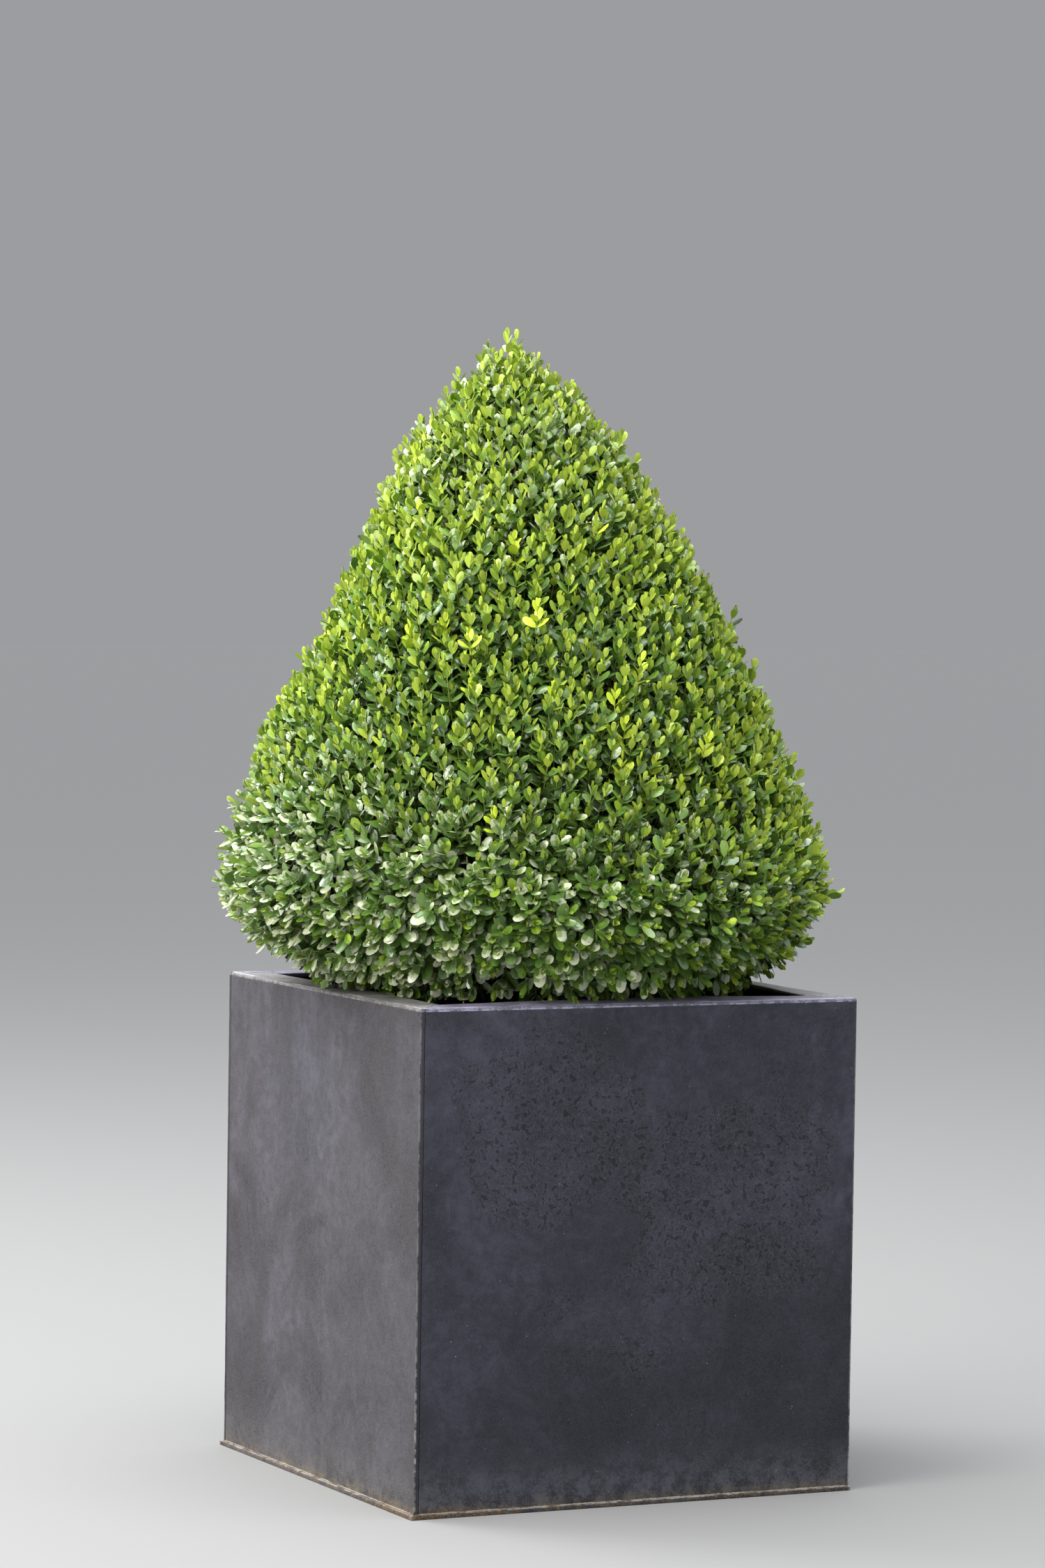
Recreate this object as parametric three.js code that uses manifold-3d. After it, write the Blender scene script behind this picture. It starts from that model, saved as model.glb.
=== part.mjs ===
// Boxwood clipped to a cone, growing in a square planter of welded steel plate.
// Millimetres, +Z up. The origin is the centre of the planter's underside, and -Y is its front.

import * as THREE from 'three';
import { mergeVertices } from 'three/addons/utils/BufferGeometryUtils.js';
import Module from 'manifold-3d';

const wasm = await Module();
wasm.setup();

// Clearance between neighbouring solids.
const GAP = 0.3;
// Corners of a piece that lie this close are one corner.
const MERGE_DISTANCE = 1e-3;
// Slivers that joining leaves are smoothed away below this size.
const SHORTEST_EDGE = 0.05;

// Planter: four wall panels lapped at the corners, on a base plate, under a flat mitred rim.
// The base plate stands proud of the walls, a little more on the left than on the right.
const PLANTER_WIDTH = 610;
const PLANTER_HEIGHT = 630;
const PLATE = 6;
const RIM_WIDTH = 48;
const BASE_PROUD = 3;
const BASE_SHIFT = -2;
const SOIL_BELOW_RIM = 60;

// Plant: heights from here on are above the soil, and radii are from the plant's own axis.
const PLANT_X = -19;
const PLANT_Y = 9;
const CROWN_BOTTOM = 66;
const CROWN_WIDEST = 210;
const CROWN_TOP = 893;
const CROWN_RADIUS = 403;
const SKIRT_DEPTH = 130;
// The flank's radius is CROWN_RADIUS * (1 - t ** FLANK_POWER) ** FLANK_ROUND at share t of its height.
const FLANK_POWER = 1.22;
const FLANK_ROUND = 0.7;
// How far the tip leans off the plant's axis. The lean grows with height to this power.
const TIP_LEAN = new THREE.Vector2(-22, 10);
const LEAN_POWER = 3;

// Trunk and boughs, inside the pot: the trunk forks low, and its boughs run out to the underside of the mass.
const TRUNK_HEIGHT = 90;
const TRUNK_RADIUS = 17;
const FLARE_RADIUS = 33;
const FLARE_HEIGHT = 40;
const FLARE_LOBES = 5;
const FLARE_LOBE_DEPTH = 0.12;
const TRUNK_SIDES = 20;
const TRUNK_RINGS = 9;
const BOUGH_COUNT = 4;
const BOUGH_SIDES = 8;
const BOUGH_RINGS = 8;
// Share of the reach, and height, of each point that a bough passes through.
const BOUGH_COURSE = [[0, 36], [0.35, 62], [0.7, 88], [1, 116]];
const BOUGH_REACH = 175;
const BOUGH_REACH_VARIES = 0.1;
const BOUGH_ANGLE_VARIES = 0.3;
const BOUGH_ROOT_RADIUS = 12;
const BOUGH_TIP_RADIUS = 8;

// Mass of foliage: a core, and leafy sprays that stand out of it as far as the clipped outline.
// Each leaf is about three times life size and stands for a tuft of small ones.
const SEED = 7;
const CORE_INSET = 42;
const CORE_INSET_BELOW = 22;
const CORE_SIDES = 28;
const CORE_RINGS = 15;
const CORE_UNDERSIDE = 96;
const SPRAY_COUNT = 142;
const SKIRT_DENSITY = 1.5;
const SPRAY_ROOT_DEPTH = 14;
const SPRAY_ROOT_RADIUS = 4.5;
const SPRAY_TIP_RADIUS = 2.4;
const SPRAY_SWING = 0.35;
// A shoot climbs this far along the outline on its way out of the core, and leans off vertical by at least
// this share of the outline's normal.
const SHOOT_RISE = 62;
const LEAST_LEAN = 0.25;
const LEAF_LENGTH = 62;
const LEAF_WIDTH = 39;
const LEAF_THICKNESS = 3;
const LEAF_WIDEST_PAST_MIDDLE = 0.16;
const LEAF_SUNK = 3;
// Each opposite pair sits at a share of the way from the core to the spray's tip. Its size is a share of
// a leaf, and spread is its angle off the twig.
const PAIRS = [
  { place: 0.12, size: 1, spread: THREE.MathUtils.degToRad(62) },
  { place: 0.38, size: 0.85, spread: THREE.MathUtils.degToRad(38) },
];
const TIP_LEAF = 0.8;
// How far a pair turns out of the crown's surface, and how much that varies.
const PAIR_LIFT = 0.2;
const PAIR_TURN = 0.9;

const GOLDEN_ANGLE = Math.PI * (3 - Math.sqrt(5));

const steel = { color: 0x41424c, roughness: 0.55, metalness: 0.45 };
const rimSteel = { color: 0x83818a, roughness: 0.5, metalness: 0.5 };
const earth = { color: 0x2b211a, roughness: 0.95, metalness: 0 };
const bark = { color: 0x6f6248, roughness: 0.9, metalness: 0 };
const foliage = { color: 0x5b7d2c, roughness: 0.45, metalness: 0 };

/** Repeatable random numbers from 0 to 1. */
function seeded(seed) {
  let state = seed;
  return () => {
    state = (state * 16807) % 2147483647;
    return state / 2147483647;
  };
}

/** A closed solid from a closed three.js geometry. */
function solidOf(geometry) {
  const bare = geometry.index ? geometry.toNonIndexed() : geometry.clone();
  bare.deleteAttribute('normal');
  bare.deleteAttribute('uv');
  const merged = mergeVertices(bare, MERGE_DISTANCE);
  const corners = [];
  const index = merged.index.array;
  for (let i = 0; i < index.length; i += 3) {
    const [a, b, c] = [index[i], index[i + 1], index[i + 2]];
    if (a !== b && b !== c && c !== a) corners.push(a, b, c);
  }
  return new wasm.Manifold(new wasm.Mesh({
    numProp: 3,
    vertProperties: new Float32Array(merged.attributes.position.array),
    triVerts: new Uint32Array(corners),
  }));
}

/** A three.js geometry from a solid. */
function geometryOf(solid) {
  const mesh = solid.getMesh();
  const geometry = new THREE.BufferGeometry();
  geometry.setAttribute('position', new THREE.BufferAttribute(mesh.vertProperties, 3));
  geometry.setIndex(new THREE.BufferAttribute(mesh.triVerts, 1));
  geometry.computeVertexNormals();
  return geometry;
}

function meshOf(name, geometry, look) {
  const mesh = new THREE.Mesh(geometry, new THREE.MeshStandardMaterial({ ...look, flatShading: true }));
  mesh.name = name;
  return mesh;
}

/** A tapering round limb along a curve, with flat ends. radiusAt gives its radius at share t of the way. */
function limb(curve, radiusAt, sides, steps) {
  const profile = [new THREE.Vector2(0, 0)];
  for (let i = 0; i <= steps; i++) profile.push(new THREE.Vector2(radiusAt(i / steps), i));
  profile.push(new THREE.Vector2(0, steps));
  const geometry = new THREE.LatheGeometry(profile, sides);
  const frames = curve.computeFrenetFrames(steps, false);
  const place = geometry.attributes.position;
  for (let i = 0; i < place.count; i++) {
    const ring = Math.round(place.getY(i));
    const point = curve.getPointAt(ring / steps);
    point.addScaledVector(frames.binormals[ring], place.getX(i));
    point.addScaledVector(frames.normals[ring], place.getZ(i));
    place.setXYZ(i, point.x, point.y, point.z);
  }
  return geometry;
}

/** Radius and height of the clipped outline: s is 0 at the tip, 1 at the widest place, 2 at the foot. */
function outline(s) {
  if (s < 1) {
    const t = 1 - s;
    return new THREE.Vector2(
      CROWN_RADIUS * (1 - t ** FLANK_POWER) ** FLANK_ROUND,
      CROWN_WIDEST + t * (CROWN_TOP - CROWN_WIDEST),
    );
  }
  const turn = (s - 1) * Math.PI / 2;
  return new THREE.Vector2(
    CROWN_RADIUS - SKIRT_DEPTH * (1 - Math.cos(turn)),
    CROWN_WIDEST - (CROWN_WIDEST - CROWN_BOTTOM) * Math.sin(turn),
  );
}

/** Polar angle of the outline's outward normal: 0 at the tip, a right angle at the widest place. */
function normalAngle(s) {
  const step = 0.01;
  const before = outline(Math.max(s - step, 0));
  const after = outline(Math.min(s + step, 2));
  return Math.atan2(before.y - after.y, after.x - before.x);
}

/** The outline's radius at a height, or 0 above and below the crown. */
function outlineRadius(height) {
  if (height > CROWN_TOP || height < CROWN_BOTTOM) return 0;
  if (height > CROWN_WIDEST) {
    const t = (height - CROWN_WIDEST) / (CROWN_TOP - CROWN_WIDEST);
    return CROWN_RADIUS * (1 - t ** FLANK_POWER) ** FLANK_ROUND;
  }
  const drop = (CROWN_WIDEST - height) / (CROWN_WIDEST - CROWN_BOTTOM);
  return CROWN_RADIUS - SKIRT_DEPTH * (1 - Math.sqrt(1 - drop * drop));
}

/** How far the core lies inside the outline: less under the skirt, where the sprays are short. */
function coreInset(s) {
  return THREE.MathUtils.lerp(CORE_INSET, CORE_INSET_BELOW, Math.max(s - 1, 0));
}

/** How far the crown's axis leans off the plant's axis at a height. */
function leanAt(height) {
  const t = Math.max(height - CROWN_WIDEST, 0) / (CROWN_TOP - CROWN_WIDEST);
  return TIP_LEAN.clone().multiplyScalar(t ** LEAN_POWER);
}

/** Values of s that share the outline's area evenly, one for each spray, but closer together on the skirt. */
function evenPlaces(count) {
  const steps = 400;
  const areas = [0];
  for (let i = 1; i <= steps; i++) {
    const a = outline(2 * (i - 1) / steps);
    const b = outline(2 * i / steps);
    const density = i > steps / 2 ? SKIRT_DENSITY : 1;
    areas.push(areas[i - 1] + density * a.distanceTo(b) * (a.x + b.x) / 2);
  }
  const places = [];
  let k = 1;
  for (let i = 0; i < count; i++) {
    const wanted = areas[steps] * (i + 0.5) / count;
    while (areas[k] < wanted) k++;
    places.push(2 * (k - (areas[k] - wanted) / (areas[k] - areas[k - 1])) / steps);
  }
  return places;
}

/** A shoot's angle off vertical: nearly upright on the flank, out at the widest place, drooping below. */
function shootAngle(normal) {
  const climb = Math.atan2(SHOOT_RISE * Math.cos(normal / 2), CORE_INSET);
  return Math.max(normal - climb, normal * LEAST_LEAN);
}

/** Where a spray's tip touches the outline, which way it grows, and its length from its root in the core. */
function sprayAt(s, azimuth, swing) {
  const normal = normalAngle(s);
  const angle = shootAngle(normal);
  const edge = outline(s);
  const lean = leanAt(edge.y);
  const tip = new THREE.Vector3(
    edge.x * Math.cos(azimuth) + lean.x,
    edge.x * Math.sin(azimuth) + lean.y,
    edge.y,
  );
  const along = new THREE.Vector3(
    Math.sin(angle) * Math.cos(azimuth + swing),
    Math.sin(angle) * Math.sin(azimuth + swing),
    Math.cos(angle),
  );
  return {
    tip,
    along,
    normal: new THREE.Vector3(
      Math.sin(normal) * Math.cos(azimuth),
      Math.sin(normal) * Math.sin(azimuth),
      Math.cos(normal),
    ),
    clear: coreInset(s) / Math.cos(normal - angle),
  };
}

/** One thin leaf of eight faces, its foot at 0 and its tip along +X, widest past the middle. */
function leafShape(size) {
  const leaf = new THREE.OctahedronGeometry(1);
  const place = leaf.attributes.position;
  for (let i = 0; i < place.count; i++) {
    const wide = Math.abs(place.getY(i)) > 0.5 ? LEAF_WIDEST_PAST_MIDDLE : 0;
    place.setXYZ(
      i,
      size * LEAF_LENGTH * (place.getX(i) + 1 + wide) / 2 - LEAF_SUNK,
      size * LEAF_WIDTH * place.getY(i) / 2,
      LEAF_THICKNESS * place.getZ(i) / 2,
    );
  }
  return leaf;
}

/** A leaf with its foot at a point, lying along a direction, its blade turned to face another. */
function leafAt(foot, direction, facing, size) {
  const across = new THREE.Vector3().crossVectors(facing, direction).normalize();
  const face = new THREE.Vector3().crossVectors(direction, across);
  const turn = new THREE.Matrix4().makeBasis(direction, across, face).setPosition(foot);
  return leafShape(size).applyMatrix4(turn);
}

/** Whether a leaf's tip stays inside the clipped outline. */
function inCrown(point) {
  const lean = leanAt(point.z);
  return Math.hypot(point.x - lean.x, point.y - lean.y) <= outlineRadius(point.z) + GAP;
}

/** A twig with its opposite pairs and one leaf at its end. Their blades face out of the crown. */
function spray({ tip, along, normal, clear }, turn) {
  const at = (share) => tip.clone().addScaledVector(along, -clear * (1 - share));
  const end = tip.clone().addScaledVector(along, LEAF_SUNK - TIP_LEAF * LEAF_LENGTH);
  const twig = limb(
    new THREE.LineCurve3(at(-SPRAY_ROOT_DEPTH / clear), end.clone().addScaledVector(along, LEAF_SUNK)),
    (t) => THREE.MathUtils.lerp(SPRAY_ROOT_RADIUS, SPRAY_TIP_RADIUS, t),
    3,
    1,
  );
  const side = new THREE.Vector3().crossVectors(along, normal).normalize();
  const outward = new THREE.Vector3().crossVectors(side, along);
  const pieces = [twig, leafAt(end, along, outward, TIP_LEAF)];
  PAIRS.forEach(({ place, size, spread }, pair) => {
    for (const half of [-1, 1]) {
      const lift = PAIR_LIFT + half * turn * (pair ? -1 : 1);
      const out = side.clone().multiplyScalar(half * Math.cos(lift)).addScaledVector(outward, Math.sin(lift));
      const way = along.clone().multiplyScalar(Math.cos(spread)).addScaledVector(out, Math.sin(spread));
      const foot = at(place);
      const point = foot.clone().addScaledVector(way, size * LEAF_LENGTH);
      if (inCrown(point)) pieces.push(leafAt(foot, way, normal, size));
    }
  });
  return pieces;
}

/** The core's outline, inside the clipped outline, closed over a low hollow above the soil. */
function coreSolid() {
  const profile = [new THREE.Vector2(0, CORE_UNDERSIDE)];
  for (let i = CORE_RINGS; i >= 0; i--) {
    const s = 2 * i / CORE_RINGS;
    const edge = outline(s);
    const normal = normalAngle(s);
    const radius = Math.max(edge.x - coreInset(s) * Math.sin(normal), 0);
    const height = edge.y - coreInset(s) * Math.cos(normal);
    if (radius > 0 || i === 0) profile.push(new THREE.Vector2(i === 0 ? 0 : radius, height));
  }
  const geometry = new THREE.LatheGeometry(profile, CORE_SIDES).rotateX(Math.PI / 2);
  const place = geometry.attributes.position;
  for (let i = 0; i < place.count; i++) {
    const lean = leanAt(place.getZ(i));
    place.setXY(i, place.getX(i) + lean.x, place.getY(i) + lean.y);
  }
  return solidOf(geometry);
}

/** The clipped mass: stem, core and every spray, fused into one solid. */
function foliageSolid(core) {
  const random = seeded(SEED);
  const stemFoot = new THREE.Vector3(0, 0, TRUNK_HEIGHT + GAP);
  const stemTop = new THREE.Vector3(0, 0, CORE_UNDERSIDE + TRUNK_RADIUS);
  const stem = limb(new THREE.LineCurve3(stemFoot, stemTop), () => TRUNK_RADIUS, TRUNK_SIDES, 1);
  const pieces = [core, solidOf(stem)];
  const places = [0, ...evenPlaces(SPRAY_COUNT - 1)];
  places.forEach((s, i) => {
    const azimuth = i * GOLDEN_ANGLE;
    const swing = (random() - 0.5) * SPRAY_SWING;
    const turn = (random() - 0.5) * PAIR_TURN;
    for (const piece of spray(sprayAt(s, azimuth, swing), turn)) pieces.push(solidOf(piece));
  });
  const fused = wasm.Manifold.union(pieces).asOriginal().simplify(SHORTEST_EDGE).decompose();
  return fused.reduce((largest, piece) => (piece.volume() > largest.volume() ? piece : largest));
}

/** Radius of the trunk at a share of its height, flaring to the soil. */
function trunkRadius(t) {
  const flare = Math.max(1 - t * TRUNK_HEIGHT / FLARE_HEIGHT, 0);
  return TRUNK_RADIUS + (FLARE_RADIUS - TRUNK_RADIUS) * flare ** 2;
}

/** The trunk, grown by a margin, with shallow lobes where the roots run out at the soil. */
function trunkGeometry(margin) {
  const foot = new THREE.Vector3(0, 0, GAP);
  const top = new THREE.Vector3(0, 0, TRUNK_HEIGHT);
  const radiusAt = (t) => trunkRadius(t) + margin;
  const trunk = limb(new THREE.LineCurve3(foot, top), radiusAt, TRUNK_SIDES, TRUNK_RINGS);
  const place = trunk.attributes.position;
  for (let i = 0; i < place.count; i++) {
    const flare = Math.max(1 - place.getZ(i) / FLARE_HEIGHT, 0);
    const angle = Math.atan2(place.getY(i), place.getX(i));
    const lobe = 1 + FLARE_LOBE_DEPTH * flare * Math.cos(FLARE_LOBES * angle);
    place.setXY(i, place.getX(i) * lobe, place.getY(i) * lobe);
  }
  return trunk;
}

/** One bough, from the trunk's fork up to the underside of the mass, cut clear of both. */
function boughGeometry(k, trunk, core) {
  const angle = (k + 0.5) * 2 * Math.PI / BOUGH_COUNT + BOUGH_ANGLE_VARIES * Math.sin(3 * k);
  const reach = BOUGH_REACH * (1 - BOUGH_REACH_VARIES * (k % 2));
  const points = BOUGH_COURSE.map(([share, height]) => new THREE.Vector3(
    share * reach * Math.cos(angle),
    share * reach * Math.sin(angle),
    height,
  ));
  const radiusAt = (t) => THREE.MathUtils.lerp(BOUGH_ROOT_RADIUS, BOUGH_TIP_RADIUS, t);
  const whole = limb(new THREE.CatmullRomCurve3(points), radiusAt, BOUGH_SIDES, BOUGH_RINGS);
  return geometryOf(solidOf(whole).subtract(trunk).subtract(core));
}

function trunkAndCrown() {
  const plant = new THREE.Group();
  plant.position.set(PLANT_X, PLANT_Y, PLANTER_HEIGHT - SOIL_BELOW_RIM);
  plant.add(meshOf('trunk', trunkGeometry(0), bark));
  const core = coreSolid();
  const trunkClear = solidOf(trunkGeometry(2 * GAP));
  const coreClear = core.translate([0, 0, -GAP]);
  for (let k = 0; k < BOUGH_COUNT; k++) {
    plant.add(meshOf(`bough_${k + 1}`, boughGeometry(k, trunkClear, coreClear), bark));
  }
  plant.add(meshOf('foliage_cone', geometryOf(foliageSolid(core)), foliage));
  return plant;
}

/** One side of the planter as its front: a panel that laps the next corner, and a mitred strip of the rim. */
function planterSide(name) {
  const side = new THREE.Group();
  const half = PLANTER_WIDTH / 2;
  const length = PLANTER_WIDTH - PLATE - GAP;
  const height = PLANTER_HEIGHT - 2 * (PLATE + GAP);
  const panel = meshOf(`planter_panel_${name}`, new THREE.BoxGeometry(length, PLATE, height), steel);
  panel.position.set((PLATE + GAP) / 2, (PLATE - PLANTER_WIDTH) / 2, PLATE + GAP + height / 2);
  side.add(panel);

  const mitre = GAP / Math.SQRT2;
  const strip = new THREE.Shape([
    new THREE.Vector2(mitre - half, -half),
    new THREE.Vector2(half - mitre, -half),
    new THREE.Vector2(half - RIM_WIDTH - mitre, RIM_WIDTH - half),
    new THREE.Vector2(RIM_WIDTH + mitre - half, RIM_WIDTH - half),
  ]);
  const stripGeometry = new THREE.ExtrudeGeometry(strip, { depth: PLATE, bevelEnabled: false });
  const rim = meshOf(`planter_rim_${name}`, stripGeometry, rimSteel);
  rim.position.z = PLANTER_HEIGHT - PLATE;
  side.add(rim);
  return side;
}

function planter() {
  const group = new THREE.Group();
  const width = PLANTER_WIDTH + 2 * BASE_PROUD;
  const base = meshOf('planter_base', new THREE.BoxGeometry(width, width, PLATE), steel);
  base.position.set(BASE_SHIFT, 0, PLATE / 2);
  group.add(base);
  ['front', 'right', 'back', 'left'].forEach((name, k) => {
    const side = planterSide(name);
    side.rotation.z = k * Math.PI / 2;
    group.add(side);
  });
  const inside = PLANTER_WIDTH - 2 * (PLATE + GAP);
  const depth = PLANTER_HEIGHT - SOIL_BELOW_RIM - PLATE - GAP;
  const soil = meshOf('soil', new THREE.BoxGeometry(inside, inside, depth), earth);
  soil.position.z = PLATE + GAP + depth / 2;
  group.add(soil);
  return group;
}

const topiary = new THREE.Group();
topiary.name = 'boxwood_cone_topiary';
topiary.add(planter());
topiary.add(trunkAndCrown());

export default topiary;
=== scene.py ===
"""Boxwood clipped to a cone in a square planter of welded steel. Metres, +Z up, -Y is the front."""

import math

import bpy
import numpy as np
from mathutils import Matrix, Vector


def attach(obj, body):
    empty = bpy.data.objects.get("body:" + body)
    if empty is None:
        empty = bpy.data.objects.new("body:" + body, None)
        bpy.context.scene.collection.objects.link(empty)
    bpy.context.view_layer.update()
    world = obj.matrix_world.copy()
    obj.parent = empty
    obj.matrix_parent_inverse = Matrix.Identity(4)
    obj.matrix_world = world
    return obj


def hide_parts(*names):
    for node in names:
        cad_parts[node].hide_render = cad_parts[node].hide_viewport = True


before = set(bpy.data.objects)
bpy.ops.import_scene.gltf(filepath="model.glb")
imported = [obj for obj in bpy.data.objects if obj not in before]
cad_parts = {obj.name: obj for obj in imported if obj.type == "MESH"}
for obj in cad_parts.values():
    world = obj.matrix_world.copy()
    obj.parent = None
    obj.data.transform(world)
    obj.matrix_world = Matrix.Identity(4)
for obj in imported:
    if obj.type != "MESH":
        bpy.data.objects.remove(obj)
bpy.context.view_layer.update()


# The camera stands off the planter's front left corner, seven metres away at the height of the
# foliage. It is a long lens on a portrait frame, turned a little downwards and tilted by under a
# degree.
CAMERA_PLACE = (-3.0717, -6.3419, 1.1817)
CAMERA_HEADING = -25.66
CAMERA_DIP = 2.37
CAMERA_TILT = 0.84


def placed(name, data):
    """A new object in the scene."""
    made = bpy.data.objects.new(name, data)
    bpy.context.scene.collection.objects.link(made)
    return made


lens = bpy.data.cameras.new("camera")
lens.lens = 124.93
lens.sensor_width = 36
lens.clip_end = 200
camera = placed("camera", lens)
camera.matrix_world = (
    Matrix.Translation(CAMERA_PLACE)
    @ Matrix.Rotation(math.radians(CAMERA_HEADING), 4, "Z")
    @ Matrix.Rotation(math.radians(90 - CAMERA_DIP), 4, "X")
    @ Matrix.Rotation(math.radians(CAMERA_TILT), 4, "Z")
)
bpy.context.scene.camera = camera
bpy.context.scene.view_settings.view_transform = "Standard"


# The base plate is a square of 6 mm steel that the walls stand on, welded to them all round. Its cut
# edge stands a few millimetres proud and has rusted, most of all at the front left corner.
PLATE = 0.006
PLANTER_WIDTH = 0.610
HALF_WIDTH = PLANTER_WIDTH / 2
PLANTER_HEIGHT = 0.630
GAP = 0.0003
FOLD = 0.003
SHEARED_EDGE = 0.0007
BASE_LOW = (-0.310, -0.308, 0)
BASE_HIGH = (0.306, 0.308, PLATE)
BASE_MIDDLE = (-0.002, 0, PLATE / 2)
BASE_CUTS = (48, 48, 1)


def lattice(*lines):
    """Points and outward faces of a closed box whose faces are cut along the given x, y and z lines."""
    counts = [len(line) for line in lines]
    index = {}
    points = []
    faces = []

    def corner(place):
        if place not in index:
            index[place] = len(points)
            points.append([lines[axis][place[axis]] for axis in range(3)])
        return index[place]

    for axis in range(3):
        u, v = (axis + 1) % 3, (axis + 2) % 3
        for end in (0, counts[axis] - 1):
            for i in range(counts[u] - 1):
                for j in range(counts[v] - 1):
                    quad = []
                    for di, dj in ((0, 0), (1, 0), (1, 1), (0, 1)):
                        place = [0, 0, 0]
                        place[axis], place[u], place[v] = end, i + di, j + dj
                        quad.append(corner(tuple(place)))
                    faces.append(quad if end else quad[::-1])
    return np.array(points), np.array(faces)


def bevelled(low, high, bevel, cuts):
    """A lattice's lines: each lies a bevel inside its end, with evenly spaced cuts between them."""
    return [
        np.concatenate([[a], np.linspace(a + bevel, b - bevel, n + 1), [b]])
        for a, b, n in zip(low, high, cuts)
    ]


def rounded(points, low, high, bevel, within=1e-9):
    """Pulls a lattice's edges in, so that its bevel is round."""
    outer = np.stack([points <= np.array(low) + within, points >= np.array(high) - within])
    on = outer.any(axis=0)
    pull = np.where(on.sum(axis=1) == 3, 1 - 1 / math.sqrt(3), 1 - 1 / math.sqrt(2))
    move = np.where(on.sum(axis=1) >= 2, pull, 0)[:, None] * bevel
    return points + np.where(outer[0], move, 0) - np.where(outer[1], move, 0)


def ripple(points, length, seed, count=7):
    """A smooth field between about -1 and 1, of seeded waves, that varies over the given length."""
    random = np.random.default_rng(seed)
    waves = random.normal(size=(count, 3)) * 2 * math.pi / length / 2.2
    turns = random.uniform(0, 2 * math.pi, count)
    return np.cos(points @ waves.T + turns).sum(axis=1) / 3


def piece(name, points, faces, materials, tones=None, smooth=True):
    """A mesh object from arrays, riding on the planter. Tones give each face's material slot."""
    mesh = bpy.data.meshes.new(name)
    mesh.vertices.add(len(points))
    mesh.vertices.foreach_set("co", np.ascontiguousarray(points, dtype=np.float32).ravel())
    mesh.loops.add(faces.size)
    mesh.loops.foreach_set("vertex_index", np.ascontiguousarray(faces, dtype=np.int32).ravel())
    mesh.polygons.add(len(faces))
    starts = np.arange(0, faces.size, faces.shape[1], dtype=np.int32)
    mesh.polygons.foreach_set("loop_start", starts)
    for material in materials:
        mesh.materials.append(material)
    if tones is not None:
        mesh.polygons.foreach_set("material_index", np.ascontiguousarray(tones, dtype=np.int32))
    mesh.update(calc_edges=True)
    mesh.polygons.foreach_set("use_smooth", np.full(len(faces), smooth))
    made = placed(name, mesh)
    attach(made, "root")
    return made


def srgb(red, green, blue):
    """A colour given in the 0 to 255 values of a screen."""
    shares = [c / 255 for c in (red, green, blue)]
    return [c / 12.92 if c <= 0.04045 else ((c + 0.055) / 1.055) ** 2.4 for c in shares] + [1.0]


class Link:
    """An output of a material's nodes. Operators add Math nodes, and add() adds any other node."""

    def __init__(self, tree, socket=None):
        self.tree = tree
        self.socket = socket

    def add(self, kind, settings=(), sockets=(), output=0):
        node = self.tree.nodes.new("ShaderNode" + kind)
        for name, value in dict(settings).items():
            setattr(node, name, value)
        for name, value in dict(sockets).items():
            if isinstance(value, Link):
                self.tree.links.new(value.socket, node.inputs[name])
            else:
                node.inputs[name].default_value = value
        return Link(self.tree, node.outputs[output])

    def math(self, operation, *values):
        return self.add("Math", {"operation": operation}, enumerate(values))

    def __add__(self, other):
        return self.math("ADD", self, other)

    def __sub__(self, other):
        return self.math("SUBTRACT", self, other)

    def __rsub__(self, other):
        return self.math("SUBTRACT", other, self)

    def __mul__(self, other):
        return self.math("MULTIPLY", self, other)

    def __abs__(self):
        return self.math("ABSOLUTE", self)

    __radd__ = __add__
    __rmul__ = __mul__

    def step(self, low, high):
        """0 below low, 1 above high, and smooth between them. Low may be above high."""
        ends = {"From Min": low, "From Max": high, "Value": self}
        return self.add("MapRange", {"interpolation_type": "SMOOTHSTEP"}, ends)

    def mix(self, first, second):
        """The first colour where this is 0, the second where it is 1."""
        return self.add("Mix", {"data_type": "RGBA"}, {0: self, 6: first, 7: second}, 2)

    def under(self, *layers):
        """This colour under layers, each given as where it lies and its colour."""
        colour = self
        for where, paint in layers:
            colour = where.mix(colour, paint)
        return colour

    def noise(self, scale, detail=4, roughness=0.55, distortion=0):
        values = {"Vector": self, "Scale": scale, "Detail": detail}
        return self.add("TexNoise", {}, {**values, "Roughness": roughness, "Distortion": distortion})

    def stretched(self, *scales):
        """This vector, with each of its axes scaled."""
        return self.add("VectorMath", {"operation": "MULTIPLY"}, {0: self, 1: scales})

    def blotch(self, u, v, middle_u, middle_v, size):
        """1 at a place on the plane of u and v, fading to 0 at a distance of size."""
        du, dv = u - middle_u, v - middle_v
        return (du * du + dv * dv).step(size * size, 0)


class Surface(Link):
    """A new material. wear() gives its shader values or links."""

    def __init__(self, name):
        self.material = bpy.data.materials.new(name)
        self.material.use_nodes = True
        super().__init__(self.material.node_tree)
        self.where = self.add("TexCoord", output="Object")

    def axes(self):
        """The place's x, y and z."""
        node = self.add("SeparateXYZ", {}, {0: self.where}).socket.node
        return [Link(self.tree, socket) for socket in node.outputs]

    def wear(self, **sockets):
        shader = self.tree.nodes["Principled BSDF"]
        for name, value in sockets.items():
            socket = shader.inputs[name.replace("_", " ")]
            if isinstance(value, Link):
                self.tree.links.new(value.socket, socket)
            else:
                socket.default_value = value
        return self.material

    def bump(self, height, distance, strength=1):
        values = {"Strength": strength, "Distance": distance, "Height": height}
        return self.add("Bump", {}, values)


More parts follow.
